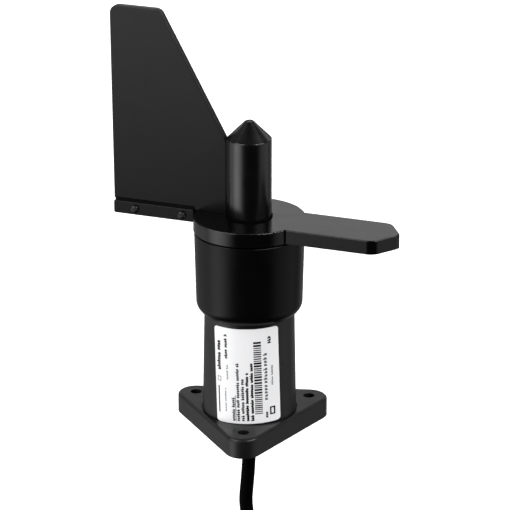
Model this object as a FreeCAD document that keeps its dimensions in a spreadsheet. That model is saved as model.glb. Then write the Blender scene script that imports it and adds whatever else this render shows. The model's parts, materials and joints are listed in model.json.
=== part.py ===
import FreeCAD, Part
import math
import os
import re
import Sketcher

# Wind direction sensor: a vane head that turns on a flanged round housing.
# Millimetres.  Origin at the centre of the flange's underside, +Z up, one
# flange lobe towards -Y.  The pieces of the head are drawn with the pointer
# arm along +X, and then turned about Z by vane_rest.

V = FreeCAD.Vector
UP = V(0, 0, 1)

SIZES = {
    # mounting flange and housing
    "flange_thick": (10.4, "flange, underside to top"),
    "bolt_circle": (67.0, "diameter of the circle of mounting holes"),
    "bolt_hole": (5.8, "diameter of a mounting hole"),
    "lobe_radius": (9.3, "flange outline round each mounting hole"),
    "flange_round": (1.6, "rounding of the flange's top edge"),
    "flange_under": (0.25, "rounding of the flange's lower edge"),
    "foot_radius": (23.7, "outside of the housing where it leaves the flange"),
    "seam_width": (0.6, "width of the groove round the housing's foot"),
    "seam_depth": (0.8, "depth of the groove round the housing's foot"),
    "top_radius": (22.3, "outside of the housing at its top"),
    "body_height": (84.0, "underside to the top of the housing"),
    "body_bore": (19.0, "radius of the housing's wide bore"),
    "carrier_bore": (15.5, "radius of the housing's narrow bore"),
    "narrow_length": (30.0, "length of the narrow bore"),
    "recess_radius": (13.5, "radius of the gland recess in the underside"),
    "recess_depth": (14.0, "depth of the gland recess"),
    "floor_thick": (3.4, "floor between the recess and the bore"),
    # rating label
    "label_thick": (0.2, "label thickness"),
    "label_bottom": (10.9, "lower edge of the label"),
    "label_top": (61.3, "upper edge of the label"),
    "label_width": (31.7, "width of the label seen square on"),
    "label_tilt": (1.7, "label out of upright, top to the left, degrees"),
    "label_centre": (-87.9, "middle of the label, degrees about Z"),
    "label_round": (1.6, "corner radius of the label"),
    # bearing carrier and bearings
    "flange_height": (4.0, "thickness of the carrier's flange"),
    "neck_height": (9.0, "carrier neck above its flange"),
    "neck_radius": (14.0, "outside of the carrier's neck"),
    "seal_depth": (3.0, "height of the shaft seal"),
    "ring_section": (1.4, "width of the carrier seal's groove"),
    "ring_depth": (1.3, "depth of the carrier seal's groove"),
    "carrier_inset": (0.3, "carrier's edge inside the housing's top"),
    "bore_relief": (0.3, "carrier bore between the bearings, inside the outer rings"),
    "bearing_width": (7.0, "ball bearing width"),
    "bearing_outside": (11.0, "ball bearing outside radius"),
    "shaft_radius": (4.0, "shaft radius in the bearings"),
    "bearing_span": (10.0, "gap between the two bearings"),
    "carrier_skirt": (2.0, "carrier below the lower bearing"),
    "carrier_screw": (1.5, "carrier screw radius"),
    "carrier_screw_length": (12.0, "carrier screw length under its head"),
    "ring_wall": (2.0, "thickness of an inner ring"),
    "outer_wall": (1.8, "thickness of an outer ring"),
    "ball_radius": (1.984, "ball radius"),
    "groove_radius": (2.05, "radius of the ball grooves"),
    "pitch_inset": (0.1, "ball circle inside the middle of the two rings"),
    "cage_half": (0.7, "half the thickness of the cage"),
    "cage_below": (1.2, "cage below the middle of the balls"),
    "cage_above": (2.4, "cage above the middle of the balls"),
    "cage_play": (0.1, "clearance of a ball in its cage"),
    "shoulder_gap": (0.3, "gap between the shaft shoulder and the seal lip"),
    # shaft
    "shoulder_radius": (5.5, "shaft shoulder above the upper bearing"),
    "collar_radius": (9.0, "shaft collar under the head"),
    "collar_thick": (2.0, "thickness of the collar"),
    "collar_gap": (1.0, "gap between the neck and the collar"),
    "stud_radius": (3.0, "threaded stud through the head"),
    "clip_thick": (1.0, "retaining ring thickness"),
    "clip_radius": (5.8, "retaining ring outside radius"),
    "clip_bite": (0.4, "depth of the retaining ring's groove"),
    "holder_grip": (3.0, "shaft length inside the magnet holder"),
    "holder_web": (1.0, "magnet holder between shaft and magnet"),
    "holder_radius": (5.4, "magnet holder outside radius"),
    "magnet_radius": (3.0, "magnet radius"),
    "magnet_thick": (2.5, "magnet thickness"),
    # circuit board
    "air_gap": (1.7, "magnet to angle sensor chip"),
    "chip_thick": (1.2, "angle sensor chip thickness"),
    "chip_length": (5.0, "angle sensor chip length"),
    "chip_width": (6.2, "angle sensor chip width"),
    "capacitor_radius": (3.0, "capacitor radius"),
    "capacitor_height": (7.0, "capacitor height"),
    "board_thick": (1.6, "circuit board thickness"),
    "board_gap": (0.5, "board edge to the narrow bore"),
    "spacer_radius": (2.0, "hexagonal spacer, corner radius"),
    "board_screw": (1.0, "board screw radius"),
    "terminal_height": (9.0, "terminal block height"),
    "terminal_width": (7.0, "terminal block width"),
    "terminal_pitch": (3.2, "terminal to terminal"),
    "terminal_row": (5.5, "terminals to the axis"),
    # turning head
    "skirt_length": (42.3, "rain skirt, lower edge to the head plate"),
    "skirt_clearance": (1.3, "gap between the housing and the skirt"),
    "skirt_wall": (2.7, "rain skirt wall"),
    "skirt_flare": (0.9, "how much wider the skirt is at its top"),
    "skirt_roof": (2.8, "rain skirt roof"),
    "skirt_lip": (0.3, "flat lower edge of the skirt"),
    "skirt_bevel": (2.9, "height of the bevel above the skirt's lower edge"),
    "skirt_round": (6.5, "rounding between the skirt's bevel and its side"),
    "shadow_gap": (0.9, "height of the groove under the head plate"),
    "shadow_depth": (1.3, "depth of the groove under the head plate"),
    "boss_height": (6.2, "skirt boss on the collar, up to the head plate"),
    "boss_radius": (11.5, "skirt boss radius"),
    "head_overhang": (0.4, "head plate beyond the skirt"),
    "head_thick": (7.1, "head plate thickness"),
    "head_edge": (0.5, "rounding of the head plate's top edge"),
    "arm_half": (14.2, "half the width of the pointer arm"),
    "arm_tip": (79.1, "axis to the tip of the pointer"),
    "arm_taper": (9.2, "length of the pointer's tapered end"),
    "arm_corner": (6.5, "rounding of the pointer's shoulders"),
    "arm_nose": (4.0, "rounding of the pointer's tip"),
    "notch_radius": (0.55, "relief notch where the pointer arm meets the round plate"),
    "pin_radius": (1.25, "locating pin radius"),
    "pin_circle": (6.4, "locating pin to the axis"),
    "pin_length": (10.0, "locating pin length"),
    "skirt_screw_circle": (19.0, "skirt screws to the axis"),
    "skirt_screw_radius": (1.5, "skirt screw radius"),
    "skirt_screw_length": (8.0, "skirt screw length under its head"),
    # tail fin and its clamp
    "fin_thick": (4.0, "tail fin thickness"),
    "fin_outer": (72.3, "axis to the foot of the fin's outer edge"),
    "fin_lean": (1.0, "how much further out the fin's outer edge is at its top"),
    "fin_top": (101.6, "head plate to the fin's top edge"),
    "fin_inner": (46.4, "axis to the fin's upper inner corner"),
    "fin_corner": (4.5, "rounding of the fin's upper corners"),
    "fin_edge": (0.8, "rounding of the fin's faces"),
    "fin_gap": (0.7, "gap between the fin and the post"),
    "fin_drop": (1.5, "fin's corner beside the post, below the foot of the cone"),
    "fin_lift": (1.1, "fin above the head plate outside its rim"),
    "tongue_thick": (2.4, "fin tongue between strip and tail arm"),
    "tail_depth": (5.6, "tail arm thickness behind the tongue"),
    "strip_outer": (71.9, "axis to the strip's outer end"),
    "strip_inner": (28.5, "axis to the strip's inner end"),
    "strip_face": (3.5, "fin's middle plane to the strip's face"),
    "strip_height": (6.6, "strip height"),
    "strip_edge": (0.5, "rounding of the strip's front edges"),
    "strip_lift": (0.8, "strip above the underside of the head plate"),
    "fin_screw_radius": (1.25, "fin screw radius"),
    "fin_screw_head": (2.1, "fin screw head radius"),
    "fin_screw_dome": (1.5, "fin screw head height"),
    "fin_screw_slot": (0.7, "width of the slot in a fin screw"),
    "slot_depth": (0.6, "depth of the slot in a fin screw"),
    "fin_screw_outer": (60.4, "axis to the outer fin screw"),
    "fin_screw_inner": (34.9, "axis to the inner fin screw"),
    "nut_corner": (2.9, "fin nut, corner radius"),
    "nut_height": (2.0, "fin nut height"),
    # post
    "post_radius": (11.15, "post radius"),
    "post_height": (39.3, "straight length of the post"),
    "post_wall": (2.4, "post wall"),
    "post_nose": (3.4, "rounding of the post's tip"),
    "post_edge": (0.2, "chamfer between post and cone"),
    "seal_height": (1.0, "post seal height"),
    "seal_overhang": (0.5, "post seal beyond the post"),
    "spigot_height": (6.0, "spigot on the head plate inside the post"),
    "spigot_wall": (1.5, "spigot wall"),
    "fit_gap": (0.05, "clearance of a located fit"),
    "hub_nut_corner": (5.77, "hub nut, corner radius"),
    "hub_nut_height": (5.0, "hub nut height"),
    "washer_thick": (1.0, "hub washer thickness"),
    "washer_radius": (6.2, "hub washer radius"),
    "stud_over": (2.5, "stud beyond the hub nut"),
    # cable gland and cable
    "cable_radius": (3.5, "cable radius"),
    "gland_set_in": (1.0, "gland nut above the flange's underside"),
    "gland_nut_corner": (10.5, "gland nut, corner radius"),
    "gland_nut_height": (8.5, "gland nut height"),
    "gland_nut_wall": (2.0, "gland nut end wall"),
    "gland_thread": (8.0, "gland thread radius"),
    "gland_hex_corner": (11.5, "gland body, corner radius"),
    "gland_hex_height": (3.0, "gland body hexagon height"),
    "bush_wall": (3.0, "gland bush wall"),
    "gland_collar": (1.5, "gland body beyond its thread, outwards and upwards"),
    "locknut_height": (3.6, "gland lock nut height"),
    "cable_inside": (9.0, "cable beyond the gland inside the housing"),
    "lead_radius": (0.6, "signal lead radius"),
    # stored coil and connector
    "coil_outer": (45.0, "radius of the coil's outer turns"),
    "coil_drop": (120.0, "underside to the middle of the coil"),
    "coil_margin": (0.9, "coil solid beyond the outermost cable surface"),
    "tie_thick": (1.2, "tie thickness"),
    "tie_width": (7.0, "tie width"),
    "plug_relief": (16.0, "connector strain relief length"),
    "plug_grip": (14.0, "connector grip length"),
    "plug_grip_radius": (6.6, "connector grip radius"),
    "plug_barrel": (16.0, "connector barrel length"),
    "plug_barrel_radius": (4.9, "connector barrel radius"),
    "plug_cavity": (4.1, "connector barrel bore radius"),
    "ring_radius": (7.3, "coupling nut outside radius"),
    "ring_thread": (6.0, "coupling nut thread radius"),
    "ring_length": (10.0, "coupling nut grip length"),
    "ring_gap": (0.08, "coupling nut running clearance"),
    "flute_radius": (0.6, "flutes round the coupling nut"),
    "plug_floor": (4.0, "connector grip to the floor of its barrel"),
    "insert_length": (5.0, "contact insert length"),
    "contact_radius": (0.5, "connector contact radius"),
    "contact_circle": (2.2, "connector contacts to the connector's axis"),
    "contact_length": (6.0, "connector contact length"),
    # rest angle of the head
    "vane_rest": (-15.8, "head at rest, degrees about Z"),
}

# Places worked out from the sizes.
PLACES = {
    "bolt_radius": "bolt_circle / 2",
    "floor_top": "recess_depth + floor_thick",
    "narrow_bottom": "body_height - narrow_length",
    "draft_slope": "(foot_radius - top_radius) / (body_height - flange_thick)",
    "label_middle": "(label_bottom + label_top) / 2",
    "label_half": "(label_top - label_bottom) / 2",
    "groove_outer": "carrier_bore + ring_section",
    "groove_bottom": "body_height - ring_depth",
    "carrier_screw_circle": "(groove_outer + top_radius) / 2 - carrier_inset",
    "carrier_top": "body_height + flange_height",
    "carrier_screw_depth": "carrier_screw_length - flange_height",
    "carrier_edge": "top_radius - carrier_inset",
    "carrier_spigot": "carrier_bore - fit_gap",
    "neck_top": "carrier_top + neck_height",
    "upper_top": "neck_top - seal_depth",
    "upper_bottom": "upper_top - bearing_width",
    "lower_top": "upper_bottom - bearing_span",
    "lower_bottom": "lower_top - bearing_width",
    "carrier_bottom": "lower_bottom - carrier_skirt",
    "middle_bore": "bearing_outside - outer_wall + bore_relief",
    "inner_outside": "shaft_radius + ring_wall",
    "outer_inside": "bearing_outside - outer_wall",
    "pitch_radius": "(inner_outside + outer_inside) / 2 - pitch_inset",
    "cage_inside": "pitch_radius - cage_half",
    "cage_outside": "pitch_radius + cage_half",
    "collar_bottom": "neck_top + collar_gap",
    "collar_top": "collar_bottom + collar_thick",
    "clip_bottom": "lower_bottom - clip_thick",
    "clip_inside": "shaft_radius - clip_bite",
    "shaft_bottom": "clip_bottom - holder_grip",
    "magnet_top": "shaft_bottom - holder_web",
    "magnet_bottom": "magnet_top - magnet_thick",
    "chip_top": "magnet_bottom - air_gap",
    "board_top": "chip_top - chip_thick",
    "board_bottom": "board_top - board_thick",
    "board_radius": "carrier_bore - board_gap",
    "terminal_bottom": "board_bottom - terminal_height",
    "spacer_circle": "board_radius - spacer_radius - 0.1",
    "head_bottom": "collar_top + boss_height",
    "head_top": "head_bottom + head_thick",
    "skirt_bottom": "head_bottom - skirt_length",
    "skirt_top": "head_bottom - shadow_gap",
    "roof_bottom": "skirt_top - skirt_roof",
    "skirt_in_low": "foot_radius - draft_slope * (skirt_bottom - flange_thick) + skirt_clearance",
    "skirt_out_low": "skirt_in_low + skirt_wall",
    "skirt_in_high": "skirt_in_low + skirt_flare",
    "skirt_out_high": "skirt_out_low + skirt_flare",
    "head_radius": "skirt_out_high + head_overhang",
    "notch_place": "sqrt(head_radius ^ 2 - arm_half ^ 2)",
    "post_bore": "post_radius - post_wall",
    "spigot_out": "post_bore - fit_gap",
    "spigot_in": "spigot_out - spigot_wall",
    "post_bottom": "head_top + seal_height",
    "shoulder": "post_bottom + post_height",
    "apex": "shoulder + post_radius",
    "washer_top": "head_top + washer_thick",
    "hub_nut_top": "washer_top + hub_nut_height",
    "stud_top": "hub_nut_top + stud_over",
    "strip_bottom": "head_bottom + strip_lift",
    "strip_middle": "strip_bottom + strip_height / 2",
    "fin_root": "post_radius + fin_gap",
    "fin_root_top": "seal_height + post_height - fin_drop",
    "tongue_half": "tongue_thick / 2",
    "tail_back": "tongue_half + tail_depth",
    "strip_thick": "strip_face - tongue_half",
    "gland_nut_top": "gland_set_in + gland_nut_height",
    "gland_hex_bottom": "recess_depth - gland_hex_height",
    "locknut_top": "floor_top + locknut_height",
    "gland_top": "locknut_top + gland_collar",
    "bush_outside": "cable_radius + bush_wall",
    "cable_end_top": "gland_top + cable_inside",
    "coil_inner": "coil_outer - 2 * cable_radius",
    "ring_in": "coil_inner - cable_radius - coil_margin",
    "ring_out": "coil_outer + cable_radius + coil_margin",
    "ring_side": "3 * cable_radius + coil_margin",
    "plug_length": "plug_relief + plug_grip + plug_barrel",
    "cavity_floor": "plug_relief + plug_grip + plug_floor",
}

# Where the cable hangs free, chosen by hand: from the gland to the coil, and
# from the coil to the connector.  The second list is measured from the
# middle of the coil.
CABLE_LEAD = [
    (0.0, 0.0, 1.0),
    (0.0, 0.0, -13.0),
    (-0.9, -0.2, -29.0),
    (-2.4, -0.8, -45.5),
    (3.0, -2.8, -62.3),
    (16.0, -5.4, -77.0),
]
CABLE_TAIL = [
    (41.4, 0.3, -17.3),
    (40.3, 0.6, -35.4),
    (40.3, 0.6, -50.0),
]
STEPS_PER_TURN = 16
FIRST_STEP = 45.0
COIL_STEPS = 82
# The cable changes slot on two steps each time: (first step, radius, side).
# Radius 1 is the outer layer, 0 the inner one; side counts cables from Y = 0.
COIL_SLOTS = [
    (0, 1, -1),
    (16, 0, -1),
    (30, 0, 0),
    (44, 0, 1),
    (58, 1, 1),
    (72, 1, 0),
]

BALLS = 7

doc = FreeCAD.newDocument("wind_vane")
sheet = doc.addObject("Spreadsheet::Sheet", "Sizes")
for row, (name, (value, note)) in enumerate(SIZES.items(), start=1):
    sheet.set("A%d" % row, note)
    sheet.set("B%d" % row, str(value))
    sheet.setAlias("B%d" % row, name)
doc.recompute()

PIECES = []


def bind(text):
    """A formula in the names above, as an expression on the sheet's cells."""
    def swap(match):
        name = match.group()
        if name in PLACES:
            return "(" + bind(PLACES[name]) + ")"
        if name in SIZES:
            return "Sizes." + name
        return name
    return re.sub(r"[a-z][a-z_0-9]*", swap, str(text))


def size(text):
    """The present value of a formula."""
    return float(sheet.evalExpression(bind(text)))


def keep(piece, place=None):
    """Mark an object as a finished piece of the sensor."""
    if place is not None:
        piece.Placement = place
    PIECES.append(piece)
    return piece


def on_head(place=None):
    """A place in the head, turned to its rest angle."""
    turn = FreeCAD.Placement(V(), FreeCAD.Rotation(UP, size("vane_rest")))
    return turn.multiply(place) if place is not None else turn


def at(x, y, z, axis=UP):
    """A place at x, y, z with the piece's own Z along axis."""
    return FreeCAD.Placement(V(size(x), size(y), size(z)), FreeCAD.Rotation(UP, axis))


def around(radius, angle, z):
    """A point on a circle about Z."""
    turn = math.radians(angle)
    return V(size(radius) * math.cos(turn), size(radius) * math.sin(turn), size(z))


def spot(radius, angle, z):
    """An upright place on a circle about Z."""
    return FreeCAD.Placement(around(radius, angle, z), FreeCAD.Rotation())


# Building blocks

def origin_plane(body, role):
    for feature in body.Origin.OriginFeatures:
        if feature.Role == role:
            return feature
    raise ValueError("no plane " + role)


def new_sketch(body, role, name):
    sketch = body.newObject("Sketcher::SketchObject", name)
    sketch.AttachmentSupport = [(origin_plane(body, role), "")]
    sketch.MapMode = "FlatFace"
    return sketch


def dimension(sketch, kind, edge, end, formula):
    """Tie one coordinate of a point of the sketch to a formula."""
    if str(formula) == "0":
        axis = -2 if kind == "DistanceX" else -1
        sketch.addConstraint(Sketcher.Constraint("PointOnObject", edge, end, axis))
        return
    index = sketch.addConstraint(Sketcher.Constraint(kind, -1, 1, edge, end, size(formula)))
    sketch.setExpression("Constraints[%d]" % index, bind(formula))


def outline(body, role, name, points):
    """A closed outline of straight sides whose corners are pairs of formulas."""
    sketch = new_sketch(body, role, name)
    corners = [V(size(x), size(y), 0) for x, y in points]
    count = len(points)
    for i in range(count):
        sketch.addGeometry(Part.LineSegment(corners[i], corners[(i + 1) % count]), False)
    for i in range(count):
        sketch.addConstraint(Sketcher.Constraint("Coincident", i, 2, (i + 1) % count, 1))
    for i, (x, y) in enumerate(points):
        dimension(sketch, "DistanceX", i, 1, x)
        dimension(sketch, "DistanceY", i, 1, y)
    return sketch


def circle(body, role, name, x, y, radius):
    """A sketch of one circle."""
    sketch = new_sketch(body, role, name)
    sketch.addGeometry(Part.Circle(V(size(x), size(y), 0), UP, size(radius)), False)
    dimension(sketch, "DistanceX", 0, 3, x)
    dimension(sketch, "DistanceY", 0, 3, y)
    index = sketch.addConstraint(Sketcher.Constraint("Radius", 0, size(radius)))
    sketch.setExpression("Constraints[%d]" % index, bind(radius))
    return sketch


def new_body(name):
    body = doc.addObject("PartDesign::Body", name)
    body.Label = name
    return body


def sweep_round(body, kind, name, sketch):
    """Turn a sketch about Z."""
    turn = body.newObject("PartDesign::" + kind, name)
    turn.Profile = sketch
    turn.ReferenceAxis = (sketch, ["V_Axis"])
    turn.Angle = 360
    return turn


def revolve(body, kind, name, points):
    """Turn an outline of (radius, height) corners about Z."""
    return sweep_round(body, kind, name, outline(body, "XZ_Plane", name + "_outline", points))


def turned(name, points):
    """A body turned about Z from one outline."""
    body = new_body(name)
    revolve(body, "Revolution", name + "_turn", points)
    return body


def pad(body, sketch, name, length, middle=False):
    feature = body.newObject("PartDesign::Pad", name)
    feature.Profile = sketch
    feature.setExpression("Length", bind(length))
    feature.Midplane = middle
    return feature


def pocket(body, sketch, name, reverse=True):
    """Cut right through the body, upwards from the sketch."""
    feature = body.newObject("PartDesign::Pocket", name)
    feature.Profile = sketch
    feature.Type = "ThroughAll"
    feature.Reversed = reverse
    return feature


def polar(body, feature, name, count):
    """Repeat a feature about Z."""
    pattern = body.newObject("PartDesign::PolarPattern", name)
    pattern.Originals = [feature]
    pattern.Axis = (feature.Profile[0], ["N_Axis"])
    pattern.Angle = 360
    pattern.Occurrences = count
    body.Tip = pattern
    return pattern


def dress(body, kind, name, amount, pick):
    """Fillet or chamfer the edges of the body's tip that pick accepts."""
    doc.recompute()
    tip = body.Tip
    edges = ["Edge%d" % (i + 1) for i, edge in enumerate(tip.Shape.Edges) if pick(edge)]
    if not edges:
        raise ValueError("no edges for " + name)
    feature = body.newObject("PartDesign::" + kind, name)
    feature.Base = (tip, edges)
    feature.setExpression("Radius" if kind == "Fillet" else "Size", bind(amount))
    return feature


def flat_at(height):
    """Picks the edges that lie in one level plane."""
    level = size(height)
    def pick(edge):
        box = edge.BoundBox
        return abs(box.ZMin - level) < 1e-4 and abs(box.ZMax - level) < 1e-4
    return pick


def upright(edge):
    """Picks the straight edges along Z."""
    box = edge.BoundBox
    return box.XLength < 1e-4 and box.YLength < 1e-4 and box.ZLength > 0.1


def cylinder(name, radius, height, place=None):
    tool = doc.addObject("Part::Cylinder", name)
    tool.setExpression("Radius", bind(radius))
    tool.setExpression("Height", bind(height))
    if place is not None:
        tool.Placement = place
    return tool


def sphere(name, radius, place):
    tool = doc.addObject("Part::Sphere", name)
    tool.setExpression("Radius", bind(radius))
    tool.Placement = place
    return tool


def block(name, length, width, height, place):
    """A box centred on its place in X and Y, standing on it."""
    tool = doc.addObject("Part::Box", name)
    tool.setExpression("Length", bind(length))
    tool.setExpression("Width", bind(width))
    tool.setExpression("Height", bind(height))
    shift = FreeCAD.Placement(V(-size(length) / 2, -size(width) / 2, 0), FreeCAD.Rotation())
    tool.Placement = place.multiply(shift)
    return tool


def hexagon(name, corner, height, place=None):
    tool = doc.addObject("Part::Prism", name)
    tool.Polygon = 6
    tool.setExpression("Circumradius", bind(corner))
    tool.setExpression("Height", bind(height))
    if place is not None:
        tool.Placement = place
    return tool


def cut(name, base, *tools):
    """Base less its tools."""
    tool = tools[0]
    if len(tools) > 1:
        tool = doc.addObject("Part::MultiFuse", name + "_tools")
        tool.Shapes = list(tools)
    result = doc.addObject("Part::Cut", name)
    result.Base = base
    result.Tool = tool
    result.Label = name
    return result


def group(name, members):
    """Separate solids of one kind as one piece."""
    result = doc.addObject("Part::Compound", name)
    result.Links = members
    result.Label = name
    return result


def nut(name, corner, height, bore, place):
    """A hexagonal nut standing on its place."""
    return cut(name, hexagon(name + "_hex", corner, height, place),
               cylinder(name + "_bore", bore, height, place))


def screw(name, radius, length, head, head_height, place):
    """A cheese-head screw: its head stands on its place, the thread goes down."""
    body = turned(name, [
        ("0", "-(%s)" % length),
        (radius, "-(%s)" % length),
        (radius, "0"),
        (head, "0"),
        (head, head_height),
        ("0", head_height),
    ])
    body.Placement = place
    return body


# Housing

def base_housing():
    body = new_body("housing_moulding")
    plan = new_sketch(body, "XY_Plane", "flange_plan")
    centres = [around("bolt_radius", angle, "0") for angle in (-90, 30, 150)]
    radius = size("lobe_radius")
    for i, angle in enumerate((-90, 30, 150)):
        lobe = Part.Circle(centres[i], UP, radius)
        start, end = math.radians(angle - 60), math.radians(angle + 60)
        plan.addGeometry(Part.ArcOfCircle(lobe, start, end), False)
    for i, angle in enumerate((-30, 90, 210)):
        side = V(math.cos(math.radians(angle)), math.sin(math.radians(angle)), 0) * radius
        plan.addGeometry(Part.LineSegment(centres[i] + side, centres[(i + 1) % 3] + side), False)
    for i in range(3):
        plan.addConstraint(Sketcher.Constraint("Tangent", i, 2, 3 + i, 1))
        plan.addConstraint(Sketcher.Constraint("Tangent", 3 + i, 2, (i + 1) % 3, 1))
        index = plan.addConstraint(Sketcher.Constraint("Radius", i, radius))
        plan.setExpression("Constraints[%d]" % index, bind("lobe_radius"))
    for i, angle in enumerate((-90, 30, 150)):
        x = "0" if angle == -90 else "bolt_radius * cos(%d deg)" % angle
        dimension(plan, "DistanceX", i, 3, x)
        dimension(plan, "DistanceY", i, 3, "bolt_radius * sin(%d deg)" % angle)
    pad(body, plan, "flange", "flange_thick")
    dress(body, "Fillet", "flange_top_edge", "flange_round", flat_at("flange_thick"))
    dress(body, "Fillet", "flange_under_edge", "flange_under", flat_at("0"))
    revolve(body, "Revolution", "barrel", [
        ("0", "flange_thick / 2"),
        ("foot_radius", "flange_thick / 2"),
        ("foot_radius", "flange_thick"),
        ("top_radius", "body_height"),
        ("0", "body_height"),
    ])
    doc.recompute()
    solid_volume = body.Shape.Volume
    revolve(body, "Groove", "bores", [
        ("0", "floor_top"),
        ("body_bore", "floor_top"),
        ("body_bore", "narrow_bottom"),
        ("carrier_bore", "narrow_bottom + body_bore - carrier_bore"),
        ("carrier_bore", "groove_bottom"),
        ("groove_outer", "groove_bottom"),
        ("groove_outer", "body_height + 1"),
        ("0", "body_height + 1"),
    ])
    revolve(body, "Groove", "gland_recess", [
        ("0", "-1"),
        ("recess_radius", "-1"),
        ("recess_radius", "recess_depth"),
        ("0", "recess_depth"),
    ])
    revolve(body, "Groove", "foot_seam", [
        ("foot_radius", "flange_thick - seam_depth"),
        ("foot_radius + seam_width", "flange_thick - seam_depth"),
        ("foot_radius + seam_width", "flange_thick + 1"),
        ("foot_radius", "flange_thick + 1"),
    ])
    pocket(body, circle(body, "XY_Plane", "gland_hole_plan", "0", "0", "gland_thread"), "gland_hole")
    hole_plan = circle(body, "XY_Plane", "bolt_hole_plan", "0", "-bolt_radius", "bolt_hole / 2")
    polar(body, pocket(body, hole_plan, "bolt_hole_cut"), "bolt_holes", 3)
    doc.recompute()
    if body.Shape.Volume > 0.8 * solid_volume:
        raise ValueError("the housing was not hollowed")
    holes = []
    for i in range(4):
        holes.append(cylinder("housing_screw_hole_%d" % i, "carrier_screw", "carrier_screw_length",
                              spot("carrier_screw_circle", 90 * i, "body_height - carrier_screw_depth")))
    keep(cut("base_housing", body, *holes))


def housing_outside(height):
    """The housing's radius at a height, as a formula."""
    return "foot_radius - draft_slope * (%s - flange_thick)" % height


def rating_label():
    """A rectangle of film bent round the housing, and set a little out of upright."""
    low = "label_bottom - label_round"
    high = "label_top + label_round"
    shell = turned("label_shell", [
        (housing_outside("(" + low + ")"), low),
        (housing_outside("(" + low + ")") + " + label_thick", low),
        (housing_outside("(" + high + ")") + " + label_thick", high),
        (housing_outside("(" + high + ")"), high),
    ])
    window = new_body("label_window")
    plan = outline(window, "XZ_Plane", "label_plan", [
        ("-label_width / 2", "-label_half"),
        ("label_width / 2", "-label_half"),
        ("label_width / 2", "label_half"),
        ("-label_width / 2", "label_half"),
    ])
    pad(window, plan, "label_block", "foot_radius", middle=True)
    reach = size("foot_radius")
    dress(window, "Fillet", "label_corners", "label_round",
          lambda edge: abs(edge.BoundBox.YLength - reach) < 0.01)
    lean = FreeCAD.Rotation(V(0, -1, 0), size("label_tilt"))
    turn = FreeCAD.Placement(V(), FreeCAD.Rotation(UP, size("label_centre") + 90))
    window.Placement = turn.multiply(FreeCAD.Placement(V(0, -reach, size("label_middle")), lean))
    film = doc.addObject("Part::Common", "rating_label")
    film.Base = shell
    film.Tool = window
    film.Label = "rating_label"
    keep(film)


# Bearing carrier, bearings and seal

def bearing_carrier():
    body = turned("carrier_turning", [
        ("bearing_outside", "carrier_bottom"),
        ("carrier_spigot", "carrier_bottom"),
        ("carrier_spigot", "body_height"),
        ("carrier_edge", "body_height"),
        ("carrier_edge", "carrier_top"),
        ("neck_radius", "carrier_top"),
        ("neck_radius", "neck_top"),
        ("bearing_outside", "neck_top"),
        ("bearing_outside", "upper_bottom"),
        ("middle_bore", "upper_bottom"),
        ("middle_bore", "lower_top"),
        ("bearing_outside", "lower_top"),
    ])
    tools = []
    for i in range(4):
        tools.append(cylinder("carrier_screw_hole_%d" % i, "carrier_screw", "flange_height",
                              spot("carrier_screw_circle", 90 * i, "body_height")))
    for i in range(3):
        tools.append(cylinder("spacer_thread_%d" % i, "board_screw", "4",
                              spot("spacer_circle", 120 * i + 60, "carrier_bottom")))
    keep(cut("bearing_carrier", body, *tools))


def carrier_seal():
    keep(turned("carrier_seal", [
        ("carrier_bore", "groove_bottom"),
        ("groove_outer - fit_gap", "groove_bottom"),
        ("groove_outer - fit_gap", "body_height"),
        ("carrier_bore", "body_height"),
    ]))


def carrier_screws():
    screws = []
    for i in range(4):
        screws.append(screw("carrier_screw_%d" % i, "carrier_screw", "carrier_screw_length",
                            "carrier_screw * 1.67", "carrier_screw * 1.33",
                            spot("carrier_screw_circle", 90 * i, "carrier_top")))
    keep(group("carrier_screws", screws))


def bearing(name, bottom):
    """A deep-groove ball bearing: two rings, the balls and their cage."""
    middle = "%s + bearing_width / 2" % bottom
    top = "%s + bearing_width" % bottom
    rings = (
        ("outer_ring", "outer_inside", "bearing_outside"),
        ("inner_ring", "shaft_radius", "inner_outside"),
    )
    for ring, inside, outside in rings:
        piece = turned(name + "_" + ring, [
            (inside, bottom),
            (outside, bottom),
            (outside, top),
            (inside, top),
        ])
        track_name = "%s_%s_track" % (name, ring)
        track = circle(piece, "XZ_Plane", track_name, "pitch_radius", middle, "groove_radius")
        sweep_round(piece, "Groove", track_name + "_cut", track)
        keep(piece, on_head() if ring == "inner_ring" else None)
    balls = []
    pockets = []
    for i in range(BALLS):
        place = spot("pitch_radius", 360 / BALLS * i, middle)
        balls.append(sphere("%s_ball_%d" % (name, i), "ball_radius", place))
        pockets.append(sphere("%s_pocket_%d" % (name, i), "ball_radius + cage_play", place))
    keep(group(name + "_balls", balls))
    cage = turned(name + "_cage_blank", [
        ("cage_inside", "%s - cage_below" % middle),
        ("cage_outside", "%s - cage_below" % middle),
        ("cage_outside", "%s + cage_above" % middle),
        ("cage_inside", "%s + cage_above" % middle),
    ])
    keep(cut(name + "_cage", cage, *pockets))


def shaft_seal():
    keep(turned("shaft_seal", [
        ("middle_bore", "upper_top"),
        ("bearing_outside - fit_gap", "upper_top"),
        ("bearing_outside - fit_gap", "neck_top"),
        ("shoulder_radius + 1.2", "neck_top"),
        ("shoulder_radius + shoulder_gap", "neck_top - 0.6"),
        ("shoulder_radius + shoulder_gap", "neck_top - 1.2"),
        ("middle_bore", "neck_top - 1.5"),
    ]))


# Shaft and what turns on it inside the housing

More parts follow.
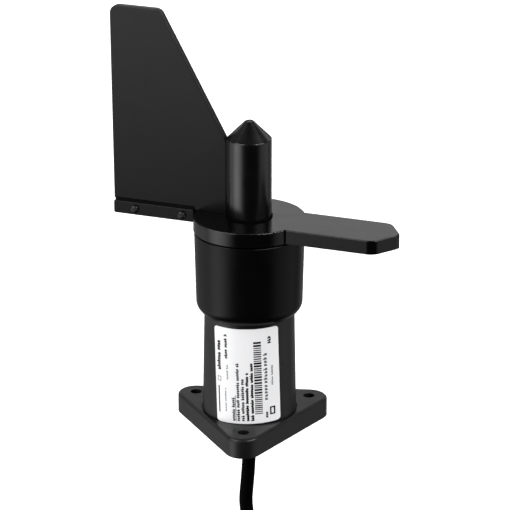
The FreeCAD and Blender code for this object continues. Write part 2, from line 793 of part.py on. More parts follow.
def shaft():
    body = turned("shaft_turning", [
        ("0", "shaft_bottom"),
        ("shaft_radius", "shaft_bottom"),
        ("shaft_radius", "clip_bottom"),
        ("clip_inside", "clip_bottom"),
        ("clip_inside", "lower_bottom"),
        ("shaft_radius", "lower_bottom"),
        ("shaft_radius", "upper_top"),
        ("shoulder_radius", "upper_top"),
        ("shoulder_radius", "collar_bottom"),
        ("collar_radius", "collar_bottom"),
        ("collar_radius", "collar_top"),
        ("stud_radius", "collar_top"),
        ("stud_radius", "stud_top - 0.5"),
        ("stud_radius - 0.5", "stud_top"),
        ("0", "stud_top"),
    ])
    hole = cylinder("collar_pin_hole", "pin_radius", "collar_thick", at("0", "pin_circle", "collar_bottom"))
    keep(cut("shaft", body, hole), on_head())


def bearing_spacer():
    keep(turned("bearing_spacer", [
        ("shaft_radius", "lower_top"),
        ("inner_outside - 0.4", "lower_top"),
        ("inner_outside - 0.4", "upper_bottom"),
        ("shaft_radius", "upper_bottom"),
    ]), on_head())


def retaining_ring():
    ring = turned("retaining_ring_blank", [
        ("clip_inside", "clip_bottom"),
        ("clip_radius", "clip_bottom"),
        ("clip_radius", "lower_bottom"),
        ("clip_inside", "lower_bottom"),
    ])
    gap = block("retaining_ring_gap", "clip_radius * 2", "3", "clip_thick * 3",
                at("clip_radius + 1.5", "0", "clip_bottom - clip_thick"))
    keep(cut("retaining_ring", ring, gap), on_head())


def magnet_holder():
    keep(turned("magnet_holder", [
        ("0", "magnet_top"),
        ("magnet_radius", "magnet_top"),
        ("magnet_radius", "magnet_bottom"),
        ("holder_radius", "magnet_bottom"),
        ("holder_radius", "clip_bottom - 0.2"),
        ("shaft_radius", "clip_bottom - 0.2"),
        ("shaft_radius", "shaft_bottom"),
        ("0", "shaft_bottom"),
    ]), on_head())


def sensor_magnet():
    magnet = cylinder("sensor_magnet", "magnet_radius", "magnet_thick")
    keep(magnet, on_head(at("0", "0", "magnet_bottom")))


# Circuit board

def circuit_board():
    board = cylinder("board_blank", "board_radius", "board_thick", at("0", "0", "board_bottom"))
    holes = []
    for i in range(3):
        holes.append(cylinder("board_hole_%d" % i, "board_screw", "board_thick",
                              spot("spacer_circle", 120 * i + 60, "board_bottom")))
    keep(cut("circuit_board", board, *holes))


def board_fixings():
    spacers = []
    screws = []
    for i in range(3):
        place = spot("spacer_circle", 120 * i + 60, "board_top")
        spacers.append(nut("board_spacer_%d" % i, "spacer_radius", "carrier_bottom - board_top",
                           "board_screw", place))
        below = spot("spacer_circle", 120 * i + 60, "board_bottom")
        flip = FreeCAD.Placement(V(), FreeCAD.Rotation(V(1, 0, 0), 180))
        screws.append(screw("board_screw_%d" % i, "board_screw", "board_screw * 6",
                            "board_screw * 1.8", "board_screw * 1.4", below.multiply(flip)))
    keep(group("board_spacers", spacers))
    keep(group("board_screws", screws))


def angle_sensor_chip():
    keep(block("angle_sensor_chip", "chip_length", "chip_width", "chip_thick", at("0", "0", "board_top")))


def terminal_x(index):
    """Where one of the four terminals is along the block, as a formula."""
    return "terminal_pitch * %.1f" % (index - 1.5)


def terminal_block():
    shell = block("terminal_shell", "terminal_pitch * 4.4", "terminal_width", "terminal_height",
                  at("0", "-terminal_row", "terminal_bottom"))
    wells = []
    for i in range(4):
        place = at(terminal_x(i), "-terminal_row", "terminal_bottom")
        wells.append(cylinder("terminal_well_%d" % i, "lead_radius * 2", "terminal_height / 3", place))
    keep(cut("terminal_block", shell, *wells))


def board_components():
    """Two capacitors, a regulator and four small parts under the board."""
    parts = []
    for i, x in enumerate(("-6.5", "0.5")):
        parts.append(cylinder("capacitor_%d" % i, "capacitor_radius", "capacitor_height",
                              at(x, "capacitor_radius * 2", "board_bottom - capacitor_height")))
    parts.append(block("regulator", "4", "6", "2", at("7", "4", "board_bottom - 2")))
    for i in range(4):
        parts.append(block("small_part_%d" % i, "2", "1.2", "0.8",
                           at(str(4.0 * i - 6), "0", "board_bottom - 0.8")))
    keep(group("board_components", parts))


# Cable entry

def cable_gland():
    collar = turned("gland_turning", [
        ("bush_outside", "gland_set_in + gland_nut_wall"),
        ("gland_thread - fit_gap", "gland_set_in + gland_nut_wall"),
        ("gland_thread - fit_gap", "gland_hex_bottom"),
        ("gland_thread + gland_collar", "gland_hex_bottom"),
        ("gland_thread + gland_collar", "recess_depth"),
        ("gland_thread", "recess_depth"),
        ("gland_thread", "gland_top"),
        ("cable_radius", "gland_top"),
        ("cable_radius", "gland_hex_bottom"),
        ("bush_outside", "gland_hex_bottom"),
    ])
    place = at("0", "0", "gland_hex_bottom")
    ring = nut("gland_hexagon", "gland_hex_corner", "gland_hex_height", "gland_thread + 1", place)
    fused = doc.addObject("Part::Fuse", "gland_body")
    fused.Base = collar
    fused.Tool = ring
    fused.Label = "gland_body"
    keep(fused)
    keep(turned("gland_bush", [
        ("cable_radius", "gland_set_in + gland_nut_wall"),
        ("bush_outside", "gland_set_in + gland_nut_wall"),
        ("bush_outside", "gland_hex_bottom"),
        ("cable_radius", "gland_hex_bottom"),
    ]))
    blank = hexagon("gland_nut_blank", "gland_nut_corner", "gland_nut_height",
                    at("0", "0", "gland_set_in"))
    bore = turned("gland_nut_bore", [
        ("0", "gland_set_in - 1"),
        ("cable_radius", "gland_set_in - 1"),
        ("cable_radius", "gland_set_in + gland_nut_wall"),
        ("gland_thread", "gland_set_in + gland_nut_wall"),
        ("gland_thread", "gland_nut_top + 1"),
        ("0", "gland_nut_top + 1"),
    ])
    keep(cut("gland_nut", blank, bore))
    keep(nut("gland_locknut", "gland_hex_corner", "locknut_height", "gland_thread",
             at("0", "0", "floor_top")))


def cable_end():
    length = "cable_end_top - gland_set_in"
    keep(cylinder("cable_end", "cable_radius", length), at("0", "0", "gland_set_in"))


# Paths of straight runs joined by tangent arcs

def rounded_path(points):
    """A wire along the points, each corner as round as its two runs allow."""
    edges = []
    radii = []
    start = points[0]
    for i in range(1, len(points) - 1):
        back = points[i - 1] - points[i]
        ahead = points[i + 1] - points[i]
        run = min(back.Length, ahead.Length)
        half_turn = (math.pi - back.getAngle(ahead)) / 2
        reach = 0.45 * run
        radii.append(reach / math.tan(half_turn))
        first = points[i] + back.normalize() * reach
        last = points[i] + ahead.normalize() * reach
        inward = (back + ahead).normalize()
        middle = points[i] + inward * (radii[-1] / math.cos(half_turn) - radii[-1])
        edges.append(Part.LineSegment(start, first).toShape())
        edges.append(Part.Arc(first, middle, last).toShape())
        start = last
    edges.append(Part.LineSegment(start, points[-1]).toShape())
    return Part.Wire(edges), radii


def tube(points, radius):
    """A round tube along a rounded path."""
    wire, radii = rounded_path(points)
    direction = points[1] - points[0]
    ring = Part.Wire(Part.Circle(points[0], direction, radius).toShape())
    solid = wire.makePipeShell([ring], True, False)
    expected = math.pi * radius ** 2 * wire.Length
    if abs(solid.Volume / expected - 1) > 0.01:
        raise ValueError("a tube's volume is not its section times its length")
    return solid, wire.Length, radii


def shape_piece(name, shape):
    piece = doc.addObject("Part::Feature", name)
    piece.Shape = shape
    piece.Label = name
    return piece


def signal_leads():
    leads = []
    start = size("cable_end_top")
    end = size("terminal_bottom")
    row = -size("terminal_row")
    for i in range(4):
        side = 1.5 * (i % 2) - 0.75
        depth = 1.5 * (i // 2) - 0.75
        target = size(terminal_x(i))
        route = [
            V(side, depth, start),
            V(side, depth, start + 0.3 * (end - start)),
            V(target, row, start + 0.7 * (end - start)),
            V(target, row, end),
        ]
        leads.append(tube(route, size("lead_radius"))[0])
    keep(shape_piece("signal_leads", Part.makeCompound(leads)))


# Stored cable

def coil_middle():
    return V(0, 0, -size("coil_drop"))


def coil_slot(step):
    """Radius and side of the coiled cable at one step."""
    layers = (size("coil_inner"), size("coil_outer"))
    radius = layers[COIL_SLOTS[0][1]]
    side = COIL_SLOTS[0][2]
    for first, layer, row in COIL_SLOTS[1:]:
        share = min(1.0, max(0.0, (step - first + 2) / 2))
        radius += share * (layers[layer] - radius)
        side += share * (row - side)
    return radius, side * 2 * size("cable_radius")


def coil_point(step):
    """One control point of the coil, clockwise seen from -Y."""
    half_step = math.pi / STEPS_PER_TURN
    radius, y = coil_slot(step)
    turn = math.radians(FIRST_STEP) - 2 * half_step * step
    reach = radius / math.cos(half_step)
    return coil_middle() + V(reach * math.cos(turn), y, reach * math.sin(turn))


def coil_ring(name, grow):
    """The outer shape of the coil, or a ring larger by grow."""
    ring = turned(name, [
        ("ring_in - %s" % grow, "-ring_side - %s" % grow),
        ("ring_out + %s" % grow, "-ring_side - %s" % grow),
        ("ring_out + %s" % grow, "ring_side + %s" % grow),
        ("ring_in - %s" % grow, "ring_side + %s" % grow),
    ])
    dress(ring, "Fillet", name + "_round", "cable_radius + %s" % grow, lambda edge: True)
    ring.Placement = FreeCAD.Placement(coil_middle(), FreeCAD.Rotation(UP, V(0, 1, 0)))
    return ring


def stored_cable():
    """The hanging cable, its coil and tie, and the run to the connector."""
    radius = size("cable_radius")
    ring = keep(coil_ring("cable_coil", "0"))
    lead = [V(*point) for point in CABLE_LEAD] + [coil_point(0)]
    tail = [coil_point(COIL_STEPS)] + [coil_middle() + V(*point) for point in CABLE_TAIL]
    length = 0
    for name, route in (("cable_tube", lead), ("cable_tail", tail)):
        solid, run, radii = tube(route, radius)
        length += run
        print(name, "radii", [round(value, 1) for value in radii])
        keep(cut(name, shape_piece(name + "_whole", solid), ring))
    turns = [coil_point(step) for step in range(COIL_STEPS + 1)]
    for i in range(COIL_STEPS):
        length += (turns[i + 1] - turns[i]).Length * math.cos(math.pi / STEPS_PER_TURN)
    print("cable length", round(length))
    sleeve = coil_ring("tie_ring", "tie_thick")
    window = block("tie_window", "tie_width", "ring_out", "ring_out",
                   at("0", "0", "ring_in / 2 - coil_drop"))
    lean = FreeCAD.Placement(V(), FreeCAD.Rotation(V(0, 1, 0), -14), coil_middle())
    window.Placement = lean.multiply(window.Placement)
    band = doc.addObject("Part::Common", "tie_band")
    band.Base = sleeve
    band.Tool = window
    keep(cut("coil_tie", band, ring))


# Connector on the end of the cable

def plug_place():
    end = coil_middle() + V(*CABLE_TAIL[-1])
    return FreeCAD.Placement(end, FreeCAD.Rotation(V(1, 0, 0), 180))


def connector():
    """A moulded round connector, drawn away from the cable along its own Z."""
    ribs = []
    step = size("plug_relief") / 8
    for i in range(8):
        outside = 4.2 + 0.22 * i + (0.4 if i % 2 else 0)
        ribs.append((str(outside), str(step * i)))
        ribs.append((str(outside), str(step * (i + 1))))
    body = turned("connector_body", [("0", "0")] + ribs + [
        ("plug_grip_radius", "plug_relief"),
        ("plug_grip_radius", "plug_relief + plug_grip"),
        ("plug_barrel_radius", "plug_relief + plug_grip"),
        ("plug_barrel_radius", "plug_length"),
        ("plug_cavity", "plug_length"),
        ("plug_cavity", "cavity_floor"),
        ("0", "cavity_floor"),
    ])
    keep(body, plug_place())
    insert = cylinder("connector_insert", "plug_cavity", "insert_length")
    keep(insert, plug_place().multiply(at("0", "0", "cavity_floor")))
    pins = []
    for i in range(4):
        place = spot("contact_circle", 90 * i + 45, "cavity_floor + insert_length")
        pins.append(cylinder("contact_%d" % i, "contact_radius", "contact_length",
                             plug_place().multiply(place)))
    keep(group("connector_pins", pins))
    bottom = "plug_relief + plug_grip + 0.4"
    ring = turned("connector_ring_blank", [
        ("plug_barrel_radius + ring_gap", bottom),
        ("ring_radius", bottom),
        ("ring_radius", bottom + " + ring_length"),
        ("ring_thread", bottom + " + ring_length"),
        ("ring_thread", "plug_length + 0.4"),
        ("plug_barrel_radius + ring_gap", "plug_length + 0.4"),
    ])
    flutes = []
    for i in range(18):
        flutes.append(cylinder("flute_%d" % i, "flute_radius", "ring_length - 2",
                               spot("ring_radius + flute_radius / 2", 20 * i, bottom + " + 1")))
    keep(cut("connector_ring", ring, *flutes), plug_place())


# Turning head

def rain_skirt():
    body = new_body("skirt_moulding")
    revolve(body, "Revolution", "skirt_turn", [
        ("stud_radius", "collar_top"),
        ("boss_radius", "collar_top"),
        ("boss_radius", "roof_bottom"),
        ("skirt_in_high", "roof_bottom"),
        ("skirt_in_low", "skirt_bottom"),
        ("skirt_in_low + skirt_lip", "skirt_bottom"),
        ("skirt_out_low", "skirt_bottom + skirt_bevel"),
        ("skirt_out_high", "skirt_top"),
        ("skirt_out_high - shadow_depth", "skirt_top"),
        ("skirt_out_high - shadow_depth", "head_bottom"),
        ("stud_radius", "head_bottom"),
    ])
    low = size("skirt_out_low")
    high = size("skirt_out_high")
    bevel_edge = flat_at("skirt_bottom + skirt_bevel")
    top_edge = flat_at("skirt_top")
    dress(body, "Fillet", "skirt_lower_edge", "skirt_round",
          lambda edge: bevel_edge(edge) and edge.BoundBox.XMax > low - 0.01)
    dress(body, "Fillet", "skirt_upper_edge", "shadow_gap / 2",
          lambda edge: top_edge(edge) and edge.BoundBox.XMax > high - 0.01)
    tools = [cylinder("skirt_pin_hole", "pin_radius", "boss_height", at("0", "pin_circle", "collar_top"))]
    for i in range(3):
        tools.append(cylinder("skirt_screw_hole_%d" % i, "skirt_screw_radius", "head_bottom - roof_bottom",
                              spot("skirt_screw_circle", 120 * i + 30, "roof_bottom")))
    keep(cut("rain_skirt", body, *tools), on_head())


def skirt_screws():
    flip = FreeCAD.Placement(V(), FreeCAD.Rotation(V(1, 0, 0), 180))
    screws = []
    for i in range(3):
        place = on_head(spot("skirt_screw_circle", 120 * i + 30, "roof_bottom").multiply(flip))
        screws.append(screw("skirt_screw_%d" % i, "skirt_screw_radius", "skirt_screw_length",
                            "skirt_screw_radius * 1.83", "skirt_screw_radius * 1.33", place))
    keep(group("skirt_screws", screws))


def locating_pin():
    keep(cylinder("locating_pin", "pin_radius", "pin_length"),
         on_head(at("0", "pin_circle", "collar_bottom")))


def vane_arm():
    """Head plate, pointer arm and tail arm in one, with the post's spigot."""
    body = new_body("arm_moulding")
    pad(body, circle(body, "XY_Plane", "head_plan", "0", "0", "head_radius"), "head_plate", "head_thick")
    pointer = outline(body, "XY_Plane", "pointer_plan", [
        ("0", "-arm_half"),
        ("arm_tip - arm_taper", "-arm_half"),
        ("arm_tip", "0"),
        ("arm_tip - arm_taper", "arm_half"),
        ("0", "arm_half"),
    ])
    pad(body, pointer, "pointer_arm", "head_thick")
    tail = outline(body, "XY_Plane", "tail_plan", [
        ("0", "tongue_half"),
        ("0", "tail_back"),
        ("-strip_outer", "tail_back"),
        ("-strip_outer", "tongue_half"),
    ])
    pad(body, tail, "tail_arm", "head_thick")
    tip = size("arm_tip")
    shoulder = size("arm_tip - arm_taper")
    outer = size("strip_outer")
    dress(body, "Fillet", "pointer_shoulders", "arm_corner",
          lambda edge: upright(edge) and abs(edge.BoundBox.XMin - shoulder) < 0.01)
    dress(body, "Fillet", "pointer_nose", "arm_nose",
          lambda edge: upright(edge) and abs(edge.BoundBox.XMin - tip) < 0.01)
    dress(body, "Fillet", "tail_corners", "tail_depth / 4",
          lambda edge: upright(edge) and abs(edge.BoundBox.XMin + outer) < 0.01)
    dress(body, "Fillet", "plate_top_edge", "head_edge", flat_at("head_thick"))
    spigot = circle(body, "XY_Plane", "spigot_plan", "0", "0", "spigot_out")
    pad(body, spigot, "spigot", "head_thick + spigot_height")
    revolve(body, "Groove", "spigot_bore", [
        ("0", "head_thick"),
        ("spigot_in", "head_thick"),
        ("spigot_in", "head_thick + spigot_height + 1"),
        ("0", "head_thick + spigot_height + 1"),
    ])
    pocket(body, circle(body, "XY_Plane", "stud_hole_plan", "0", "0", "stud_radius"), "stud_hole")
    body.Placement = at("0", "0", "head_bottom")
    tools = [cylinder("arm_pin_hole", "pin_radius", "pin_length - collar_thick - boss_height",
                      at("0", "pin_circle", "head_bottom"))]
    for i in range(3):
        tools.append(cylinder("arm_screw_hole_%d" % i, "skirt_screw_radius",
                              "roof_bottom + skirt_screw_length - head_bottom",
                              spot("skirt_screw_circle", 120 * i + 30, "head_bottom")))
    for name, side in (("front", "-arm_half"), ("back", "arm_half")):
        tools.append(cylinder("arm_notch_" + name, "notch_radius", "head_thick",
                              at("notch_place", side, "head_bottom")))
    for name in ("outer", "inner"):
        tools.append(cylinder("arm_hole_" + name, "fin_screw_radius", "tail_depth",
                              at("-fin_screw_" + name, "tongue_half", "strip_middle", V(0, 1, 0))))
    keep(cut("vane_arm", body, *tools), on_head())


def hub_fixings():
    """The washer and nut that hold the head on the shaft's stud."""
    keep(turned("hub_washer", [
        ("stud_radius", "head_top"),
        ("washer_radius", "head_top"),
        ("washer_radius", "washer_top"),
        ("stud_radius", "washer_top"),
    ]), on_head())
    keep(nut("hub_nut", "hub_nut_corner", "hub_nut_height", "stud_radius", at("0", "0", "washer_top")),
         on_head())


def post_seal():
    keep(turned("post_seal", [
        ("spigot_out", "head_top"),
        ("post_radius + seal_overhang", "head_top"),
        ("post_radius + seal_overhang", "post_bottom - seal_height / 3"),
        ("post_radius + seal_overhang / 2", "post_bottom"),
        ("spigot_out", "post_bottom"),
    ]), on_head())


def post_cap():
    body = turned("post_cap", [
        ("post_bore", "post_bottom"),
        ("post_radius", "post_bottom"),
        ("post_radius", "shoulder"),
        ("post_nose / 2", "apex - post_nose / 2"),
        ("0", "apex - post_nose / 2"),
        ("0", "shoulder - post_wall"),
        ("post_bore", "shoulder - post_wall - post_bore / 2"),
    ])
    dress(body, "Chamfer", "post_rim", "post_edge", flat_at("shoulder"))
    dress(body, "Fillet", "post_tip", "post_nose", flat_at("apex - post_nose / 2"))
    keep(body, on_head())


# Tail fin

def tail_fin():
    """The fin plate, on a thinner tongue between the strip and the tail arm."""
    body = new_body("fin_moulding")
    plan = outline(body, "XZ_Plane", "fin_plan", [
        ("-fin_outer", "fin_lift"),
        ("-fin_outer - fin_lean", "fin_top"),
        ("-fin_inner", "fin_top"),
        ("-fin_root", "fin_root_top"),
        ("-fin_root", "0"),
        ("-strip_inner", "0"),
        ("-strip_inner", "fin_lift"),
    ])
    pad(body, plan, "fin_plate", "fin_thick", middle=True)
    top = size("fin_top")
    across = size("fin_thick")
    dress(body, "Fillet", "fin_corners", "fin_corner",
          lambda edge: edge.BoundBox.ZMin > top - 0.01 and abs(edge.BoundBox.YLength - across) < 0.01)
    outer = size("-fin_outer")
    root_top = size("fin_root_top")

    def on_face(edge):
        box = edge.BoundBox
        flat = box.YLength < 1e-4 and abs(abs(box.YMin) - across / 2) < 1e-4
        return flat and (box.XMin < outer + 0.01 or box.ZMax > root_top + 1)
    dress(body, "Fillet", "fin_edges", "fin_edge", on_face)
    body.Placement = at("0", "0", "head_top")
    tongue = block("fin_tongue", "strip_outer - strip_inner", "tongue_thick", "strip_height + fin_lift",
                   at("-(strip_outer + strip_inner) / 2", "0", "strip_bottom"))
    whole = doc.addObject("Part::Fuse", "fin_with_tongue")
    whole.Base = body
    whole.Tool = tongue
    holes = []
    for name in ("outer", "inner"):
        holes.append(cylinder("fin_hole_" + name, "fin_screw_radius", "fin_thick",
                              at("-fin_screw_" + name, "-fin_thick / 2", "strip_middle", V(0, 1, 0))))
    keep(cut("tail_fin", whole, *holes), on_head())


def clamp_strip():
    body = new_body("strip_bar")
    plan = outline(body, "XZ_Plane", "strip_plan", [
        ("-strip_outer", "0"),
        ("-strip_outer", "strip_height"),
        ("-strip_inner", "strip_height"),
        ("-strip_inner", "0"),
    ])
    pad(body, plan, "strip_plate", "strip_thick", middle=True)
    thick = size("strip_thick")
    dress(body, "Fillet", "strip_corners", "strip_height / 8",
          lambda edge: abs(edge.BoundBox.YLength - thick) < 0.01)
    dress(body, "Fillet", "strip_front_edges", "strip_edge",
          lambda edge: edge.BoundBox.YMax < 0.01 - thick / 2)
    body.Placement = at("0", "-tongue_half - strip_thick / 2", "strip_bottom")
    holes = []
    for name in ("outer", "inner"):
        holes.append(cylinder("strip_hole_" + name, "fin_screw_radius", "strip_thick",
                              at("-fin_screw_" + name, "-strip_face", "strip_middle", V(0, 1, 0))))
    keep(cut("clamp_strip", body, *holes), on_head())


def fin_fixings():
    screws = []
    nuts = []
    length = "strip_face + tail_back + nut_height + 0.4"
    for name in ("outer", "inner"):
        face = at("-fin_screw_" + name, "-strip_face", "strip_middle", V(0, -1, 0))
        shank = screw("fin_screw_" + name + "_shank", "fin_screw_radius", length, "fin_screw_head",
                      "fin_screw_dome", on_head(face))
        dress(shank, "Fillet", "fin_screw_%s_dome" % name, "fin_screw_dome * 0.8",
              lambda edge: edge.BoundBox.ZMin > size("fin_screw_dome") - 0.01)
        slot = block("fin_screw_%s_slot" % name, "fin_screw_head * 3", "fin_screw_slot", "slot_depth * 2",
                     on_head(face.multiply(at("0", "0", "fin_screw_dome - slot_depth"))))
        screws.append(cut("fin_screw_" + name, shank, slot))
        nuts.append(nut("fin_nut_" + name, "nut_corner", "nut_height", "fin_screw_radius",
                        on_head(at("-fin_screw_" + name, "tail_back", "strip_middle", V(0, 1, 0)))))
    keep(group("fin_screws", screws))
    keep(group("fin_nuts", nuts))


def check_and_write():
    """Stop on a failed object, then write each piece to its own file."""
    doc.recompute()
    for item in doc.Objects:
        if "Invalid" in item.State or "Error" in item.State:
            raise ValueError("failed: %s %s" % (item.Name, item.State))
    os.makedirs("parts", exist_ok=True)
    for piece in PIECES:
        shape = piece.Shape
        if shape.isNull() or not shape.isValid() or not shape.Solids:
            raise ValueError("bad shape: " + piece.Label)
        shape.exportStep("parts/%s.step" % piece.Label)
    print(len(PIECES), "pieces written")


base_housing()
rating_label()
bearing_carrier()
carrier_seal()
carrier_screws()
bearing("upper", "upper_bottom")
bearing("lower", "lower_bottom")
shaft_seal()
shaft()
bearing_spacer()
retaining_ring()
magnet_holder()
sensor_magnet()
circuit_board()
board_fixings()
angle_sensor_chip()
terminal_block()
board_components()
cable_gland()
cable_end()
signal_leads()
stored_cable()
connector()
rain_skirt()
skirt_screws()
locating_pin()
vane_arm()
hub_fixings()
post_seal()
post_cap()
tail_fin()
clamp_strip()
fin_fixings()
check_and_write()
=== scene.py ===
import json
import math
import random

import bpy
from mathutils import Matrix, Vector


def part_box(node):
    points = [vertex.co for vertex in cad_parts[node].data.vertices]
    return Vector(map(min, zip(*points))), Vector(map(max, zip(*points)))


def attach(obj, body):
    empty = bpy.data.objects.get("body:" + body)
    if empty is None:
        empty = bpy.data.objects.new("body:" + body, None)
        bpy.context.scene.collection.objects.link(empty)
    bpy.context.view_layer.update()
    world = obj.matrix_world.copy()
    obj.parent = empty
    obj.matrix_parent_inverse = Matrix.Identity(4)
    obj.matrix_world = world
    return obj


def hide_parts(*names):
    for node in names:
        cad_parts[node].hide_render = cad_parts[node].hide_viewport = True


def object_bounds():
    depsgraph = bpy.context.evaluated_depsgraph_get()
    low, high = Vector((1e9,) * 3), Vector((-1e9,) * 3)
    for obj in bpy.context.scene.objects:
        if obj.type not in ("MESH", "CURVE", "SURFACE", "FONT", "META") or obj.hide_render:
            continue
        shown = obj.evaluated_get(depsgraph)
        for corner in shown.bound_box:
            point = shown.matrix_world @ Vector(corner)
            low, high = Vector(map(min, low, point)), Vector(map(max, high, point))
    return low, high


# Looks of a wind direction sensor, in metres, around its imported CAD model.
# +Z is up along the turning axis, and z = 0 is the flange's underside.

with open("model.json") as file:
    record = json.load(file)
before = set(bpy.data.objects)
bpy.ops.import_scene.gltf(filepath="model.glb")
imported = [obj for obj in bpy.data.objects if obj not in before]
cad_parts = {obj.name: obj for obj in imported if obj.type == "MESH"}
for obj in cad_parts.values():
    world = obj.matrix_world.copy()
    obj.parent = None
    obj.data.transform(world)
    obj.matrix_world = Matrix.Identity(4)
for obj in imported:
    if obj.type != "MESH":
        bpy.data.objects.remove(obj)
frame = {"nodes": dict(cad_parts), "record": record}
CAD_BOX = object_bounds()

MM = 0.001

# Camera
CAMERA_AZIMUTH = 5.31
CAMERA_ELEVATION = 20.28
CAMERA_DISTANCE = 1.5106
CAMERA_HEIGHT = 0.0923
CAMERA_ASIDE = 0.0028
CAMERA_LENS = 213.7
CAMERA_SENSOR = 36.0

# Housing and label, as in the CAD model
FOOT_HEIGHT = 0.0104
FOOT_RADIUS = 0.0237
HOUSING_TOP = 0.084
TOP_RADIUS = 0.0223
LABEL_THICK = 0.0002
LABEL_LOW = 0.0109
LABEL_HIGH = 0.0613
LABEL_WIDTH = 0.0317
LABEL_TILT = 1.7
LABEL_CENTRE = -87.9

# Cable: control points of its free stretches, then of the stored coil
CABLE_RADIUS = 0.0035
CABLE_LEAD = [
    (0.0, 0.0, 0.001),
    (0.0, 0.0, -0.013),
    (-0.0009, -0.0002, -0.029),
    (-0.0024, -0.0008, -0.0455),
    (0.003, -0.0028, -0.0623),
    (0.016, -0.0054, -0.077),
]
CABLE_TAIL = [
    (0.0414, 0.0003, -0.1373),
    (0.0403, 0.0006, -0.1554),
    (0.0403, 0.0006, -0.17),
]
COIL_MIDDLE = Vector((0.0, 0.0, -0.12))
COIL_OUTER = 0.045
STEPS_PER_TURN = 16
FIRST_STEP = 45.0
COIL_STEPS = 82
# (first step, layer, row): layer 1 is the outer one; rows count cables from Y = 0
COIL_SLOTS = [
    (0, 1, -1),
    (16, 0, -1),
    (30, 0, 0),
    (44, 0, 1),
    (58, 1, 1),
    (72, 1, 0),
]


def cam_direction(azimuth, elevation):
    """From the object towards a camera at that azimuth and elevation."""
    a, e = math.radians(azimuth), math.radians(elevation)
    return Vector((math.sin(a) * math.cos(e), -math.cos(a) * math.cos(e), math.sin(e)))


def place_camera():
    """A long lens aimed a little beside the turning axis."""
    camera = bpy.data.cameras.new("camera")
    camera.lens = CAMERA_LENS
    camera.sensor_width = CAMERA_SENSOR
    camera.clip_start = 0.05
    camera.clip_end = 50.0
    holder = bpy.data.objects.new("camera", camera)
    bpy.context.scene.collection.objects.link(holder)
    axis_point = Vector((0.0, 0.0, CAMERA_HEIGHT))
    holder.location = axis_point + cam_direction(CAMERA_AZIMUTH, CAMERA_ELEVATION) * CAMERA_DISTANCE
    turn = math.radians(CAMERA_AZIMUTH)
    right = Vector((math.cos(turn), math.sin(turn), 0.0))
    aim = axis_point + right * CAMERA_ASIDE - holder.location
    holder.rotation_euler = aim.to_track_quat("-Z", "Y").to_euler()
    bpy.context.scene.camera = holder


# Cable

def coil_slot(step):
    """Radius and side of the coiled cable at one step."""
    layers = (COIL_OUTER - 2 * CABLE_RADIUS, COIL_OUTER)
    radius = layers[COIL_SLOTS[0][1]]
    side = COIL_SLOTS[0][2]
    for first, layer, row in COIL_SLOTS[1:]:
        share = min(1.0, max(0.0, (step - first + 2) / 2))
        radius += share * (layers[layer] - radius)
        side += share * (row - side)
    return radius, side * 2 * CABLE_RADIUS


def coil_point(step):
    """One control point of the coil, clockwise seen from -Y."""
    half_step = math.pi / STEPS_PER_TURN
    radius, y = coil_slot(step)
    turn = math.radians(FIRST_STEP) - 2 * half_step * step
    reach = radius / math.cos(half_step)
    return COIL_MIDDLE + Vector((reach * math.cos(turn), y, reach * math.sin(turn)))


def signal_cable():
    """The whole cable outside the housing as one smooth spline."""
    route = [Vector(point) for point in CABLE_LEAD]
    route += [coil_point(step) for step in range(COIL_STEPS + 1)]
    route += [Vector(point) for point in CABLE_TAIL]
    curve = bpy.data.curves.new("signal_cable", "CURVE")
    curve.dimensions = "3D"
    curve.bevel_depth = CABLE_RADIUS
    curve.bevel_resolution = 8
    curve.use_fill_caps = True
    spline = curve.splines.new("NURBS")
    spline.points.add(len(route) - 1)
    for point, place in zip(spline.points, route):
        point.co = (*place, 1.0)
    spline.order_u = 3
    spline.use_endpoint_u = True
    spline.resolution_u = 6
    cable = bpy.data.objects.new("signal_cable", curve)
    bpy.context.scene.collection.objects.link(cable)
    cable.data.materials.append(MATERIALS["cable_jacket"])
    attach(cable, "housing")
    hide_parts("cable_tube", "cable_coil", "cable_tail")


# Shader building blocks

def add_node(tree, kind, sockets=None, **settings):
    """A shader node with its settings, and its sockets set or linked."""
    made = tree.nodes.new("ShaderNode" + kind)
    for name, value in settings.items():
        setattr(made, name, value)
    for name, value in (sockets or {}).items():
        if isinstance(value, bpy.types.NodeSocket):
            tree.links.new(value, made.inputs[name])
        else:
            made.inputs[name].default_value = value
    return made


def maths(tree, operation, first, second=0.0):
    """One sum on sockets or plain numbers."""
    return add_node(tree, "Math", {0: first, 1: second}, operation=operation).outputs[0]


def span(tree, value, low, high, to_low, to_high, smooth=False):
    """A value carried from one range to another, and held at its ends."""
    kind = "SMOOTHSTEP" if smooth else "LINEAR"
    sockets = {"Value": value, "From Min": low, "From Max": high, "To Min": to_low, "To Max": to_high}
    return add_node(tree, "MapRange", sockets, interpolation_type=kind).outputs["Result"]


def noise(tree, feature, detail=2.0, roughness=0.5):
    """Noise in the object's own metres whose features are about that size."""
    place = add_node(tree, "TexCoord").outputs["Object"]
    sockets = {"Vector": place, "Scale": 1.0 / feature, "Detail": detail, "Roughness": roughness}
    return add_node(tree, "TexNoise", sockets).outputs["Fac"]


def shade(colour, factor):
    """A colour made darker or lighter, with full alpha."""
    return (colour[0] * factor, colour[1] * factor, colour[2] * factor, 1.0)


def blend_colours(tree, factor, first, second):
    """Two colours, or colour sockets, mixed by a factor."""
    mix = add_node(tree, "Mix", {"Factor": factor}, data_type="RGBA")
    for index, value in ((6, first), (7, second)):
        if isinstance(value, bpy.types.NodeSocket):
            tree.links.new(value, mix.inputs[index])
        else:
            mix.inputs[index].default_value = value
    return mix.outputs[2]


